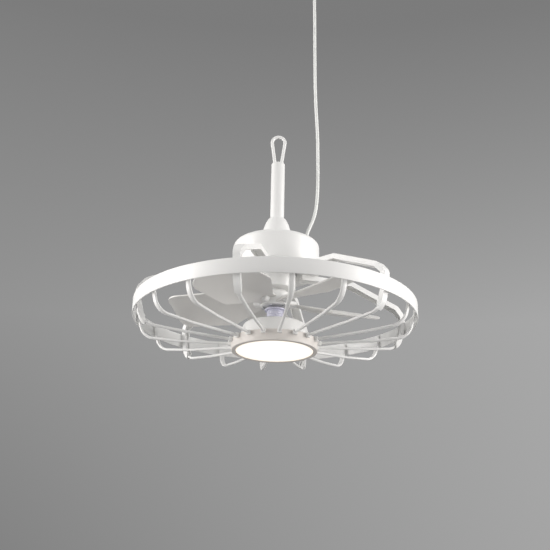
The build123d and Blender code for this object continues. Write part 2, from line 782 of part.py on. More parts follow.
def make_lamp_diffuser():
    bottom = bezel_bottom_z + bezel_lip_height
    plate = disc(diffuser_r, bottom, bottom + diffuser_thickness)
    window = disc(bezel_lip_r - slip_gap, bezel_bottom_z + 0.5, bottom + 0.2)
    return plate + window


def make_lamp_gasket():
    top = lamp_flange_z - lamp_flange_height
    gasket = ring(diffuser_r, lamp_foot_r + 1.0, top - lamp_gasket_height, top)
    for index in range(lamp_screw_count):
        angle = math.radians(lamp_screw_first_angle + 360 / lamp_screw_count * index)
        gasket -= Pos(lamp_screw_at_r * math.cos(angle), lamp_screw_at_r * math.sin(angle), top) * Cylinder(
            lamp_screw_r + slip_gap, 10)
    return gasket


def make_lamp_screws():
    screws = []
    for index in range(lamp_screw_count):
        angle = math.radians(lamp_screw_first_angle + 360 / lamp_screw_count * index)
        place = Pos(lamp_screw_at_r * math.cos(angle), lamp_screw_at_r * math.sin(angle), lamp_flange_z)
        shank = place * Cylinder(lamp_screw_r - 0.25, lamp_screw_length, align=(Align.CENTER, Align.CENTER, Align.MAX))
        head = place * Cylinder(lamp_screw_head_r, lamp_screw_head_height,
                                align=(Align.CENTER, Align.CENTER, Align.MIN))
        screws.append(shank + head)
    return Compound(screws)


def led_board_top():
    return shaft_bottom_z - led_board_drop


def make_led_board():
    top = led_board_top()
    board = ring(led_board_r, led_board_bore_r, top - led_board_thickness, top)
    for index in range(led_count):
        board += Rot(0, 0, 360 / led_count * index) * Pos(led_ring_r, 0, top - led_board_thickness) * Box(
            led_side, led_side, led_height, align=(Align.CENTER, Align.CENTER, Align.MAX))
    return board


def make_heat_sink():
    """A spreader between the lamp's roof and its board."""
    top = lamp_top_z - lamp_wall
    board_top = led_board_top()
    sink = ring(led_board_r - 1.0, sink_bore_r, board_top, board_top + sink_plate)
    for radius in sink_fin_radii:
        sink += ring(radius, radius - sink_fin_width, board_top + 1.0, top)
    return sink


# Cord and its fittings
def make_cord_gland():
    x = cord_points[0][0]
    base = Pos(x, cord_plane_y, housing_top_z) * extrude(
        RegularPolygon(gland_base_r, 6, major_radius=False), amount=gland_base_height)
    dome_top = housing_top_z + gland_base_height + gland_dome_height
    dome = Pos(x, cord_plane_y, housing_top_z + gland_base_height) * Cylinder(
        gland_dome_r + 1.4, gland_dome_height, align=(Align.CENTER, Align.CENTER, Align.MIN))
    dome = fillet(dome.edges().group_by(Axis.Z)[-1], 3.0)
    tail = Pos(x, cord_plane_y, housing_top_z) * Cylinder(
        gland_dome_r, housing_wall + 5, align=(Align.CENTER, Align.CENTER, Align.MAX))
    bore = Pos(x, cord_plane_y, housing_top_z - 20) * Cylinder(
        cord_r - 0.4, dome_top - housing_top_z + 17, align=(Align.CENTER, Align.CENTER, Align.MIN))
    return base + dome + tail - bore


def cord_path():
    points = [Vector(x, cord_plane_y, z) for x, z in cord_points]
    radii = []
    for before, here, after in zip(points, points[1:], points[2:]):
        turn = math.radians((here - before).get_angle(after - here))
        radii.append(0.45 * min((here - before).length, (after - here).length) / math.tan(turn / 2))
    print("cord bend radii", [round(value, 1) for value in radii])
    return FilletPolyline(*points, radius=radii)


def make_power_cord():
    path = cord_path()
    section = Plane(origin=path @ 0, z_dir=path % 0) * Circle(cord_r)
    cord = sweep(section, path=path)
    print("cord length", round(path.length, 1), "volume ratio",
          round(cord.volume / (math.pi * cord_r ** 2 * path.length), 4))
    return cord


def make_cord_ceiling_grip():
    x, bottom = cord_points[-1]
    place = Pos(x, cord_plane_y, bottom)
    nose = place * Cylinder(grip_nose_r, grip_nose_height, align=(Align.CENTER, Align.CENTER, Align.MIN))
    body = place * Pos(0, 0, grip_nose_height) * Cylinder(
        grip_r, grip_height - grip_nose_height, align=(Align.CENTER, Align.CENTER, Align.MIN))
    body = fillet(body.edges().group_by(Axis.Z)[0], 5.0)
    grip = nose + body
    for side in (-1, 1):
        grip -= place * Pos(side * grip_screw_spacing / 2, 0, grip_height / 2) * Cylinder(grip_screw_r, grip_height * 2)
    return grip


# Fasteners of the guard
def rib_azimuth(index):
    return rib_first_azimuth + rib_step * index


def arm_ribs():
    return [index for index in range(rib_count) if index % arm_every_ribs == arm_first_rib]


def make_arm_screws():
    screws = []
    seat = housing_bottom_z - arm_wall
    for index in arm_ribs():
        for radius in arm_screw_radii:
            head = Pos(radius, 0, seat) * Cylinder(
                arm_screw_head_r, arm_screw_head_height, align=(Align.CENTER, Align.CENTER, Align.MAX))
            shank = Pos(radius, 0, seat) * Cylinder(
                arm_screw_r - slip_gap, arm_wall + 2.2, align=(Align.CENTER, Align.CENTER, Align.MIN))
            screws.append(at_azimuth(head + shank, rib_azimuth(index)))
    return Compound(screws)


def row_place(piece):
    """Lowers a piece so that the hook's seat in the loop is at the origin."""
    return Pos(0, 0, -hook_z) * piece


def make_all():
    nodes = {
        "hanging_loop": make_hanging_loop(),
        "loop_sleeves": make_loop_sleeves(),
        "stem_cap": make_stem_cap(),
        "stem_tube": make_stem_tube(),
        "stem_nut": make_stem_nut(),
        "bell_collar": make_bell_collar(),
        "collar_set_screw": make_collar_set_screw(),
        "housing_cover": make_housing_cover(),
        "housing_base": make_housing_base(),
        "housing_gasket": make_housing_gasket(),
        "cover_screws": make_cover_screws(),
        "control_board": make_control_board(),
        "motor_shaft": make_motor_shaft(),
        "shaft_nut": make_shaft_nut(),
        "stator_core": make_stator_core(),
        "stator_windings": make_stator_windings(),
        "upper_bearing": make_bearing(cup_top_z - cup_lid - bearing_width),
        "lower_bearing": make_bearing(cup_bottom_z + 0.2),
        "rotor_cup": make_rotor_cup(),
        "rotor_lid": make_rotor_lid(),
        "magnet_ring": make_magnet_ring(),
        "blade_hub": make_blade_hub(),
        "blade_screws": make_blade_screws(),
        "guard_ring": make_guard_ring(),
        "arm_screws": make_arm_screws(),
        "lamp_neck": make_lamp_neck(),
        "lamp_housing": make_lamp_housing(),
        "lamp_bezel": make_lamp_bezel(),
        "lamp_diffuser": make_lamp_diffuser(),
        "lamp_gasket": make_lamp_gasket(),
        "lamp_screws": make_lamp_screws(),
        "led_board": make_led_board(),
        "heat_sink": make_heat_sink(),
        "cord_gland": make_cord_gland(),
        "power_cord": make_power_cord(),
        "cord_ceiling_grip": make_cord_ceiling_grip(),
    }
    blade = make_blade()
    for index in range(blade_count):
        nodes[f"fan_blade_{index + 1}"] = Rot(0, 0, blade_first_angle + 360 / blade_count * index) * blade
    arm = make_arm()
    plain_rib = make_plain_rib()
    arm_rib = make_arm_rib()
    ribs = [at_azimuth(arm_rib if index in arm_ribs() else plain_rib, rib_azimuth(index)) for index in range(rib_count)]
    for number, first in enumerate(range(0, rib_count, ribs_per_node), 1):
        nodes[f"guard_rib_pair_{number}"] = Compound(ribs[first:first + ribs_per_node])
    for number, index in enumerate(arm_ribs(), 1):
        nodes[f"guard_arm_{number}"] = at_azimuth(arm, rib_azimuth(index))
    return nodes


for name, piece in make_all().items():
    export_step(row_place(piece), f"parts/{name}.step")
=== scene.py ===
"""Looks of a hanging caged fan with a lamp below it.

Pieces are modelled in millimetres, with heights counted from the top edge of the guard band,
and `TO_ROW` sets each finished mesh in the row frame.
"""
import json
import math

import bmesh
import bpy
from mathutils import Matrix, Vector

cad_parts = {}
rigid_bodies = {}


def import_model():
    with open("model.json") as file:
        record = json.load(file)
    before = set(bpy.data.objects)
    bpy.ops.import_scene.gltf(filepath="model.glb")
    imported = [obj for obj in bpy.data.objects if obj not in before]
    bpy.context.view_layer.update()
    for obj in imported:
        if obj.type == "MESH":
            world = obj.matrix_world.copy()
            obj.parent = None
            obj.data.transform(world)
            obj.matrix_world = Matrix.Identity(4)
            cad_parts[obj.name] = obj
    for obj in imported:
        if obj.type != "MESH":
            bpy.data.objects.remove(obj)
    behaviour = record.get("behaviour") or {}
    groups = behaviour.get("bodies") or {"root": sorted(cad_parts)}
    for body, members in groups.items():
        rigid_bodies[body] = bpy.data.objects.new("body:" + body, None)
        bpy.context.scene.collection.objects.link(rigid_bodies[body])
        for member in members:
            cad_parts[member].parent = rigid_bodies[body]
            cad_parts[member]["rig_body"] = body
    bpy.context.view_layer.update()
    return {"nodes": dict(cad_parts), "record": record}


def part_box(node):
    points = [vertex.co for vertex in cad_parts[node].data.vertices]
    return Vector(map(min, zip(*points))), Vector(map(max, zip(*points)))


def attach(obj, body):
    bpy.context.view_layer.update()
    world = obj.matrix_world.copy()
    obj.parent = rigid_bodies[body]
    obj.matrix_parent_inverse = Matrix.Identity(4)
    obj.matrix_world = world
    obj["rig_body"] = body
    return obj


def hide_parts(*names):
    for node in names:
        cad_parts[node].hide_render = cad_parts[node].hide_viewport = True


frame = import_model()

MM = 0.001
BAND_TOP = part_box("guard_ring")[1].z
TO_ROW = Matrix.Translation((0, 0, BAND_TOP)) @ Matrix.Scale(MM, 4)
SLOT_OF_NODE = {part["node"]: part["material_slot"] for part in frame["record"]["subparts"]}
COLOUR_OF_SLOT = {entry["slot"]: entry["base_color"] for entry in frame["record"]["materials"]}


def span(node):
    """A CAD node's lowest and highest corners in millimetres, heights from the band's top edge."""
    return [Vector((corner.x, corner.y, corner.z - BAND_TOP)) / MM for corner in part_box(node)]


# Sizes read from the frame
BAND_LOW, BAND_HIGH = span("guard_ring")
COVER_LOW, COVER_HIGH = span("housing_cover")
BASE_LOW, BASE_HIGH = span("housing_base")
STEM_LOW, STEM_HIGH = span("stem_tube")
BELL_LOW, BELL_HIGH = span("bell_collar")
LOOP_LOW, LOOP_HIGH = span("hanging_loop")
CUP_LOW, CUP_HIGH = span("rotor_cup")
LID_LOW, LID_HIGH = span("rotor_lid")
HUB_LOW, HUB_HIGH = span("blade_hub")
NECK_LOW, NECK_HIGH = span("lamp_neck")
LAMP_HIGH = span("lamp_housing")[1]
BEZEL_LOW, BEZEL_HIGH = span("lamp_bezel")
DIFFUSER_LOW, DIFFUSER_HIGH = span("lamp_diffuser")

# Guard, with insets counted from the band's inner face
BAND_WALL = 2.5
BAND_EDGE = 0.7
BAND_FACE = BAND_HIGH.x - BAND_WALL
RIB_COUNT = 18
RIB_FIRST_AZIMUTH = 5.8
RIBS_PER_NODE = 2
RIB_DEPTH = 5.0
RIB_WIDTH = 5.0
RIB_ROOT_WIDTH = 10.0
RIB_TAPER_INSETS = (60.0, 9.0)
RIB_BENDS = [14.0, 32.0, 60.0]
RIB_END_R = 80.3
RIB_END_Z = -67.4
RIB_BLOCK = (6.5, 7.6, 8.4)
RIB_TOP_Z = -3.0
RIB_PAD_HEIGHT = 8.0
RIB_CORNER_INSET = 12.3
RIB_CORNER_Z = -55.2
RIB_KNEE = (177.5, -62.6)
SEAT_GAP = 0.3
ARM_RIBS = (2, 5, 8, 11, 14, 17)
ARM_WALL = 1.6
ARM_DEPTH = 9.6
ARM_HALF_WIDTHS = (6.0, 10.0)
ARM_TAPER_HEIGHTS = (2.0, 34.0)
ARM_RIB_WIDTH = 8.0
ARM_FOOT_INSET = 19.8
ARM_START_R = 50.0
ARM_SHOULDER_R = 152.0
ARM_SHOULDER_DROP = 1.6
ARM_CORNER_INSET = 15.2
ARM_CORNER_Z = 30.0
ARM_TURN_Z = 13.0
ARM_BEND = 14.0
FOOT_BELOW_Z = -20.0

# Motor housing, stem and loop
HOUSING_WALL = 2.5
HOUSING_ROUND = 9.0
STEM_HOLE_R = 13.7
STEM_BORE_R = 11.5
BELL_WAIST = (30.0, 147.5)
BELL_SHOULDER = (23.6, 171.0)
BELL_LIP_R = 17.8
BELL_TOP_R = 15.0
SET_SCREW_R = 1.9
SET_SCREW_LENGTH = 8.0
SOCKET_R = 1.2
SOCKET_DEPTH = 1.6
SET_SCREW_AZIMUTH = -18.0
SET_SCREW_END_R = 30.9
SET_SCREW_Z = 148.0
WIRE_R = 3.3
BOW_R = 12.9
LEG_X = 7.0
LEG_BEND_Z = 312.0
LEG_BEND_R = 14.0

# Blades
BLADE_COUNT = 5
BLADE_FIRST_ANGLE = 20.0
BLADE_PLANE_Z = 13.0
BLADE_PITCH = 18.0
BLADE_CAMBER_R = 210.0
BLADE_THICKNESS = 2.6
BLADE_TIP_R = 205.0
BLADE_ROOT_R = 17.0
BLADE_NECK_R = 34.0
BLADE_FULL_R = 92.0
BLADE_HALF_CHORDS = (18.0, 53.0, 49.3)
BLADE_EDGE = 0.9
BLADE_CUTS_ALONG = range(30, 200, 10)
BLADE_CUTS_ACROSS = range(-50, 51, 4)
HUB_SHOULDER_Z = 29.5
HUB_NECK_R = 19.0
ROTOR_BORE_R = 7.2
BEARING_SEAT_R = 10.6
BEARING_COLLAR = 2.4
CUP_WALL = 1.8
CUP_FLOOR = 2.6
CLIP_R = 7.0
CLIP_LENGTH = 14.0

# Lamp
LAMP_BORE_R = 6.1
LAMP_FLANGE_Z = -63.0
LAMP_TOP_R = 58.5
LAMP_FOOT_R = 66.5
BEZEL_LIP_R = 71.3
BEZEL_BORE_R = 74.9
NECK_BORE_R = 6.3
NECK_R = 15.0
NECK_SWELL = 1.1
NECK_FLANGE = 2.4
NECK_RINGS = 6
LAMP_ROOF = 2.0
LAMP_FLANGE = 3.0
BEZEL_LIP = 1.8
DIFFUSER_RIM = 2.4

# Power cord: its route's points in metres, from the gland to the ceiling grip
CORD_R = 0.0032
CORD_Y = 0.005
CORD_ROUTE = [
    (0.0585, -0.2223), (0.0585, -0.2108), (0.0630, -0.1968), (0.0700, -0.1813), (0.0760, -0.1593),
    (0.0793, -0.1273), (0.0802, -0.0813), (0.0799, -0.0313), (0.0790, 0.0227), (0.0756, 0.0767),
    (0.0739, 0.1317), (0.0734, 0.1867), (0.0727, 0.2427), (0.0725, 0.2987), (0.0716, 0.3387),
    (0.0716, 0.3747),
]

# Camera, fitted to the photograph
CAMERA_PLACE = Vector((0.0, -1.5366, -0.8817))
CAMERA_PITCH = math.radians(20.84)
CAMERA_YAW = math.radians(-0.063)
CAMERA_ROLL = math.radians(1.22)
CAMERA_LENS = 56.29


# Material groups and finishes
def new_group(name, inputs, outputs):
    """A shader node group with named sockets, and its two end nodes."""
    group = bpy.data.node_groups.new(name, "ShaderNodeTree")
    for label, kind, value in inputs:
        socket = group.interface.new_socket(label, in_out="INPUT", socket_type=kind)
        socket.default_value = value
    for label, kind in outputs:
        group.interface.new_socket(label, in_out="OUTPUT", socket_type=kind)
    return group, group.nodes.new("NodeGroupInput"), group.nodes.new("NodeGroupOutput")


def noise(tree, vector, scale, detail=3.0):
    """A noise texture; its scale is a number, or the socket that gives it."""
    node = tree.nodes.new("ShaderNodeTexNoise")
    node.inputs["Detail"].default_value = detail
    tree.links.new(vector, node.inputs["Vector"])
    if isinstance(scale, (int, float)):
        node.inputs["Scale"].default_value = scale
    else:
        tree.links.new(scale, node.inputs["Scale"])
    return node.outputs["Fac"]


def maths(tree, operation, first, second):
    """A Math node on two sockets or numbers."""
    node = tree.nodes.new("ShaderNodeMath")
    node.operation = operation
    for socket, value in zip(node.inputs, (first, second)):
        if isinstance(value, (int, float)):
            socket.default_value = value
        else:
            tree.links.new(value, socket)
    return node.outputs[0]


def coat_skin_group():
    """Satin coat: fine orange peel, broad mottling of its shade and an uneven gloss."""
    group, start, end = new_group(
        "coat_skin",
        [("Color", "NodeSocketColor", (0.8, 0.8, 0.8, 1)), ("Mottle", "NodeSocketFloat", 0.03),
         ("Peel scale", "NodeSocketFloat", 900.0), ("Peel", "NodeSocketFloat", 1.0),
         ("Roughness", "NodeSocketFloat", 0.4), ("Gloss spread", "NodeSocketFloat", 0.08)],
        [("Color", "NodeSocketColor"), ("Roughness", "NodeSocketFloat"), ("Height", "NodeSocketFloat")])
    place = group.nodes.new("ShaderNodeTexCoord").outputs["Object"]
    broad = noise(group, place, 14.0, 4.0)
    centred = maths(group, "SUBTRACT", broad, 0.5)
    tone = maths(group, "ADD", maths(group, "MULTIPLY", centred, start.outputs["Mottle"]), 1.0)
    tint = group.nodes.new("ShaderNodeVectorMath")
    tint.operation = "SCALE"
    group.links.new(start.outputs["Color"], tint.inputs[0])
    group.links.new(tone, tint.inputs["Scale"])
    gloss = maths(group, "SUBTRACT", noise(group, place, 60.0), 0.5)
    spread = maths(group, "MULTIPLY", gloss, start.outputs["Gloss spread"])
    grit = noise(group, place, start.outputs["Peel scale"], 2.0)
    peel = maths(group, "MULTIPLY", grit, start.outputs["Peel"])
    group.links.new(tint.outputs[0], end.inputs["Color"])
    group.links.new(maths(group, "ADD", start.outputs["Roughness"], spread), end.inputs["Roughness"])
    group.links.new(peel, end.inputs["Height"])
    return group


def brushed_group():
    """Worked metal: grain drawn out along one direction, with its own gloss."""
    group, start, end = new_group(
        "worked_metal",
        [("Color", "NodeSocketColor", (0.6, 0.6, 0.6, 1)), ("Grain", "NodeSocketFloat", 0.25),
         ("Roughness", "NodeSocketFloat", 0.35), ("Stretch", "NodeSocketVector", (300.0, 300.0, 4000.0))],
        [("Color", "NodeSocketColor"), ("Roughness", "NodeSocketFloat"), ("Height", "NodeSocketFloat")])
    place = group.nodes.new("ShaderNodeTexCoord").outputs["Object"]
    stretch = group.nodes.new("ShaderNodeVectorMath")
    stretch.operation = "MULTIPLY"
    group.links.new(place, stretch.inputs[0])
    group.links.new(start.outputs["Stretch"], stretch.inputs[1])
    grain = noise(group, stretch.outputs[0], 1.0, 3.0)
    centred = maths(group, "MULTIPLY", maths(group, "SUBTRACT", grain, 0.5), start.outputs["Grain"])
    tint = group.nodes.new("ShaderNodeVectorMath")
    tint.operation = "SCALE"
    group.links.new(start.outputs["Color"], tint.inputs[0])
    group.links.new(maths(group, "ADD", centred, 1.0), tint.inputs["Scale"])
    group.links.new(tint.outputs[0], end.inputs["Color"])
    group.links.new(maths(group, "ADD", start.outputs["Roughness"], centred), end.inputs["Roughness"])
    group.links.new(grain, end.inputs["Height"])
    return group


COAT_SKIN = coat_skin_group()
WORKED_METAL = brushed_group()


def new_material(name):
    """An empty node material and its Principled shader."""
    material = bpy.data.materials.new(name)
    material.use_nodes = True
    return material, material.node_tree, material.node_tree.nodes["Principled BSDF"]


def bump_from(tree, shader, height, strength, distance):
    bump = tree.nodes.new("ShaderNodeBump")
    bump.inputs["Strength"].default_value = strength
    bump.inputs["Distance"].default_value = distance
    tree.links.new(height, bump.inputs["Height"])
    tree.links.new(bump.outputs["Normal"], shader.inputs["Normal"])


def coated(slot, rough=0.4, mottle=0.03, peel_scale=900.0, peel=1.0, coat=0.0):
    """A satin coated or moulded finish in its slot's own colour."""
    material, tree, shader = new_material(slot)
    skin = tree.nodes.new("ShaderNodeGroup")
    skin.node_tree = COAT_SKIN
    skin.inputs["Color"].default_value = (*COLOUR_OF_SLOT[slot][:3], 1)
    skin.inputs["Mottle"].default_value = mottle
    skin.inputs["Peel scale"].default_value = peel_scale
    skin.inputs["Peel"].default_value = peel
    skin.inputs["Roughness"].default_value = rough
    tree.links.new(skin.outputs["Color"], shader.inputs["Base Color"])
    tree.links.new(skin.outputs["Roughness"], shader.inputs["Roughness"])
    bump_from(tree, shader, skin.outputs["Height"], 0.5, 0.00006)
    shader.inputs["Coat Weight"].default_value = coat
    shader.inputs["Coat Roughness"].default_value = 0.2
    return material


def worked(slot, rough=0.35, grain=0.25, stretch=(300.0, 300.0, 4000.0)):
    """A ground, plated or stacked metal in its slot's own colour."""
    material, tree, shader = new_material(slot)
    metal = tree.nodes.new("ShaderNodeGroup")
    metal.node_tree = WORKED_METAL
    metal.inputs["Color"].default_value = (*COLOUR_OF_SLOT[slot][:3], 1)
    metal.inputs["Grain"].default_value = grain
    metal.inputs["Roughness"].default_value = rough
    metal.inputs["Stretch"].default_value = stretch
    tree.links.new(metal.outputs["Color"], shader.inputs["Base Color"])
    tree.links.new(metal.outputs["Roughness"], shader.inputs["Roughness"])
    bump_from(tree, shader, metal.outputs["Height"], 0.3, 0.00003)
    shader.inputs["Metallic"].default_value = 1.0
    return material


def lit_diffuser(slot):
    """Opal plastic lit from behind, a little weaker and warmer towards its rim."""
    material, tree, shader = new_material(slot)
    place = tree.nodes.new("ShaderNodeTexCoord").outputs["Object"]
    flat = tree.nodes.new("ShaderNodeVectorMath")
    flat.operation = "MULTIPLY"
    flat.inputs[1].default_value = (1, 1, 0)
    tree.links.new(place, flat.inputs[0])
    reach = tree.nodes.new("ShaderNodeVectorMath")
    reach.operation = "LENGTH"
    tree.links.new(flat.outputs[0], reach.inputs[0])
    ramp = tree.nodes.new("ShaderNodeValToRGB")
    ramp.color_ramp.elements[0].position = 0.45
    ramp.color_ramp.elements[0].color = (1.0, 0.975, 0.93, 1)
    ramp.color_ramp.elements[1].position = 1.0
    ramp.color_ramp.elements[1].color = (0.93, 0.83, 0.70, 1)
    share = maths(tree, "MULTIPLY", reach.outputs["Value"], 1 / (DIFFUSER_HIGH.x * MM))
    tree.links.new(share, ramp.inputs[0])
    grain = noise(tree, place, 260.0)
    bump_from(tree, shader, grain, 0.2, 0.00005)
    tree.links.new(ramp.outputs["Color"], shader.inputs["Base Color"])
    tree.links.new(ramp.outputs["Color"], shader.inputs["Emission Color"])
    shader.inputs["Emission Strength"].default_value = 0.95
    shader.inputs["Roughness"].default_value = 0.45
    return material


def board_finish(slot):
    """Solder mask with paler tracks."""
    material, tree, shader = new_material(slot)
    place = tree.nodes.new("ShaderNodeTexCoord").outputs["Object"]
    tracks = tree.nodes.new("ShaderNodeTexBrick")
    tracks.inputs["Scale"].default_value = 160.0
    tracks.inputs["Mortar Size"].default_value = 0.06
    tracks.inputs["Color1"].default_value = (*COLOUR_OF_SLOT[slot][:3], 1)
    tracks.inputs["Color2"].default_value = (0.06, 0.26, 0.14, 1)
    tracks.inputs["Mortar"].default_value = (0.45, 0.50, 0.30, 1)
    tree.links.new(place, tracks.inputs["Vector"])
    tree.links.new(tracks.outputs["Color"], shader.inputs["Base Color"])
    bump_from(tree, shader, tracks.outputs["Fac"], 0.3, 0.0001)
    shader.inputs["Roughness"].default_value = 0.35
    return material


FINISH = {
    "white_paint": coated("white_paint", rough=0.38, mottle=0.025, peel_scale=1100.0, coat=0.15),
    "white_wire": coated("white_wire", rough=0.34, mottle=0.03, peel_scale=1400.0, coat=0.2),
    "white_plastic": coated("white_plastic", rough=0.45, mottle=0.02, peel_scale=2200.0, peel=0.6),
    "lamp_trim": coated("lamp_trim", rough=0.5, mottle=0.03, peel_scale=2000.0, peel=0.6),
    "blade_plastic": coated("blade_plastic", rough=0.42, mottle=0.04, peel_scale=1600.0, peel=0.8),
    "neck_plastic": coated("neck_plastic", rough=0.3, mottle=0.05, peel_scale=1200.0, peel=0.4, coat=0.3),
    "cord_jacket": coated("cord_jacket", rough=0.5, mottle=0.04, peel_scale=1800.0, peel=0.8),
    "rubber_seal": coated("rubber_seal", rough=0.75, mottle=0.2, peel_scale=700.0, peel=1.0),
    "magnet": coated("magnet", rough=0.6, mottle=0.15, peel_scale=500.0, peel=1.0),
    "diffuser": lit_diffuser("diffuser"),
    "circuit_board": board_finish("circuit_board"),
    "zinc_steel": worked("zinc_steel", rough=0.35, grain=0.15, stretch=(900.0, 900.0, 900.0)),
    "ground_steel": worked("ground_steel", rough=0.28, grain=0.3, stretch=(200.0, 200.0, 6000.0)),
    "lamination": worked("lamination", rough=0.5, grain=0.5, stretch=(100.0, 100.0, 9000.0)),
    "copper_wire": worked("copper_wire", rough=0.3, grain=0.4, stretch=(3000.0, 3000.0, 900.0)),
    "heat_spreader": worked("heat_spreader", rough=0.45, grain=0.15, stretch=(700.0, 700.0, 700.0)),
}


# Mesh helpers
def lathe(bm, outline, steps):
    """Turns an outline of (radius, height) points about Z, and merges its seam and poles."""
    verts = [bm.verts.new((radius, 0, height)) for radius, height in outline]
    edges = [bm.edges.new(pair) for pair in zip(verts, verts[1:] + verts[:1])]
    bmesh.ops.spin(bm, geom=verts + edges, cent=(0, 0, 0), axis=(0, 0, 1), dvec=(0, 0, 0),
                   angle=math.tau, steps=steps, use_merge=True, use_duplicate=False)
    bmesh.ops.remove_doubles(bm, verts=bm.verts, dist=0.001)
    bmesh.ops.recalc_face_normals(bm, faces=bm.faces)


def round_rim(bm, radius, height, size, segments=5):
    """Rounds the turned edge that lies at a radius and height."""
    rim = [edge for edge in bm.edges if all(
        abs(math.hypot(vert.co.x, vert.co.y) - radius) < 0.05 and abs(vert.co.z - height) < 0.05
        for vert in edge.verts)]
    bmesh.ops.bevel(bm, geom=rim, offset=size, offset_type="OFFSET", segments=segments,
                    profile=0.5, affect="EDGES", clamp_overlap=True, material=-1)


def bent_line(points, bends, steps=6):
    """Points along straight runs joined by round bends, all in one plane."""
    line = [Vector(points[0])]
    for before, corner, after, bend in zip(points, points[1:], points[2:], bends):
        corner = Vector(corner)
        to_before = (Vector(before) - corner).normalized()
        to_after = (Vector(after) - corner).normalized()
        half = to_before.angle(to_after) / 2
        setback = bend / math.tan(half)
        centre = corner + (to_before + to_after).normalized() * (bend / math.sin(half))
        entry = corner + to_before * setback - centre
        leave = corner + to_after * setback - centre
        for step in range(steps + 1):
            line.append(centre + entry.lerp(leave, step / steps).normalized() * bend)
    line.append(Vector(points[-1]))
    return line


def beside(points, distance):
    """The polyline at an even distance to the right of another one, as radius and height."""
    points = [Vector(point) for point in points]
    legs = [(end - start).normalized() for start, end in zip(points, points[1:])]
    rights = [Vector((leg.y, -leg.x)) for leg in legs]
    moved = []
    for index, point in enumerate(points):
        before = rights[max(index - 1, 0)]
        after = rights[min(index, len(rights) - 1)]
        moved.append(point + (before + after) * (distance / (1 + before.dot(after))))
    return moved


def loft_on_rails(bm, line, bends, depth, section_at):
    """A bar along +X, lofted between a bent line of (radius, height) and the line a depth beside it."""
    outer = bent_line(line, bends, 9)
    inner = bent_line(beside(line, depth), [bend - depth for bend in bends], 9)
    rims = []
    for top, low in zip(outer, inner):
        middle = (top + low) / 2
        reach = top - middle
        rims.append([bm.verts.new((middle.x + reach.x * rise, across, middle.y + reach.y * rise))
                     for across, rise in section_at(middle)])
    count = len(rims[0])
    for start, end in zip(rims, rims[1:]):
        for index in range(count):
            after = (index + 1) % count
            bm.faces.new((start[index], start[after], end[after], end[index]))
    bm.faces.new(rims[0])
    bm.faces.new(rims[-1])
    bmesh.ops.recalc_face_normals(bm, faces=bm.faces)


def eased(value, low, high):
    """Rises smoothly from 0 at the low value to 1 at the high one."""
    share = min(max((value - low) / (high - low), 0), 1)
    return share * share * (3 - 2 * share)


def rounded_section(count=20, squareness=0.7):
    """A round-cornered square section, as (side, rise) from -1 to 1."""
    section = []
    for index in range(count):
        turn = math.tau * (index + 0.5) / count
        section.append(tuple(math.copysign(abs(part) ** squareness, part)
                             for part in (math.cos(turn), math.sin(turn))))
    return section


def turned_to(bm, azimuth):
    """Turns a bar modelled along +X to an azimuth counted from the front towards the right."""
    turn = Matrix.Rotation(math.radians(azimuth - 90), 3, "Z")
    bmesh.ops.rotate(bm, cent=(0, 0, 0), matrix=turn, verts=bm.verts)


def joined(target, source):
    """Adds one bmesh to another, and frees the added one."""
    spare = bpy.data.meshes.new("spare")
    source.to_mesh(spare)
    source.free()
    target.from_mesh(spare)
    bpy.data.meshes.remove(spare)


def shade(mesh, sharp):
    """Smooth shading with creases kept sharp."""
    mesh.polygons.foreach_set("use_smooth", [True] * len(mesh.polygons))
    mesh.set_sharp_from_angle(angle=math.radians(sharp))


def piece(name, bm, body, slot, nodes=(), edge=None, sharp=40):
    """Sets a mesh in the row frame as a named piece with its finish, on its CAD body."""
    bmesh.ops.transform(bm, matrix=TO_ROW, verts=bm.verts)
    mesh = bpy.data.meshes.new(name)
    bm.to_mesh(mesh)
    bm.free()
    mesh.materials.append(FINISH[slot])
    shade(mesh, sharp)
    obj = bpy.data.objects.new(name, mesh)
    bpy.context.scene.collection.objects.link(obj)
    if edge:
        soft = obj.modifiers.new("soft_edges", "BEVEL")
        soft.width = edge * MM
        soft.segments = 3
        soft.limit_method = "ANGLE"
        soft.angle_limit = math.radians(35)
        soft.harden_normals = True
    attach(obj, body)
    if nodes:
        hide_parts(*nodes)
    return obj


def dressed(node, sharp=32):
    """A merged, smoothly shaded copy of a CAD node, in the finish of its slot."""
    source = frame["nodes"][node]
    bm = bmesh.new()
    bm.from_mesh(source.data)
    bmesh.ops.remove_doubles(bm, verts=bm.verts, dist=0.000002)
    mesh = bpy.data.meshes.new(f"{node}_finished")
    bm.to_mesh(mesh)
    bm.free()
    mesh.materials.clear()
    mesh.materials.append(FINISH[SLOT_OF_NODE[node]])
    shade(mesh, sharp)
    obj = bpy.data.objects.new(f"{node}_finished", mesh)
    bpy.context.scene.collection.objects.link(obj)
    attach(obj, source["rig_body"])
    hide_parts(node)
    return obj


# Guard
def make_guard_band():
    bm = bmesh.new()
    outer, inner = BAND_HIGH.x, BAND_FACE
    lathe(bm, [(inner, BAND_LOW.z), (outer, BAND_LOW.z), (outer, 0), (inner, 0)], steps=288)
    for radius in (outer, inner):
        for height in (BAND_LOW.z, 0):
            round_rim(bm, radius, height, BAND_EDGE, 3)
    piece("guard_band", bm, "frame", "white_paint", ["guard_ring"], sharp=60)


def rib_line():
    """The outer side of a rib: a pad on the band, then leaning in, round one bend and in to the lamp."""
    half = RIB_DEPTH / 2
    face_r = BAND_FACE - SEAT_GAP
    knee_r, knee_z = RIB_KNEE
    return [(face_r, RIB_TOP_Z), (face_r, RIB_TOP_Z - RIB_PAD_HEIGHT),
            (BAND_FACE - RIB_CORNER_INSET, RIB_CORNER_Z - half), (knee_r, knee_z - half),
            (RIB_END_R, RIB_END_Z - half)]


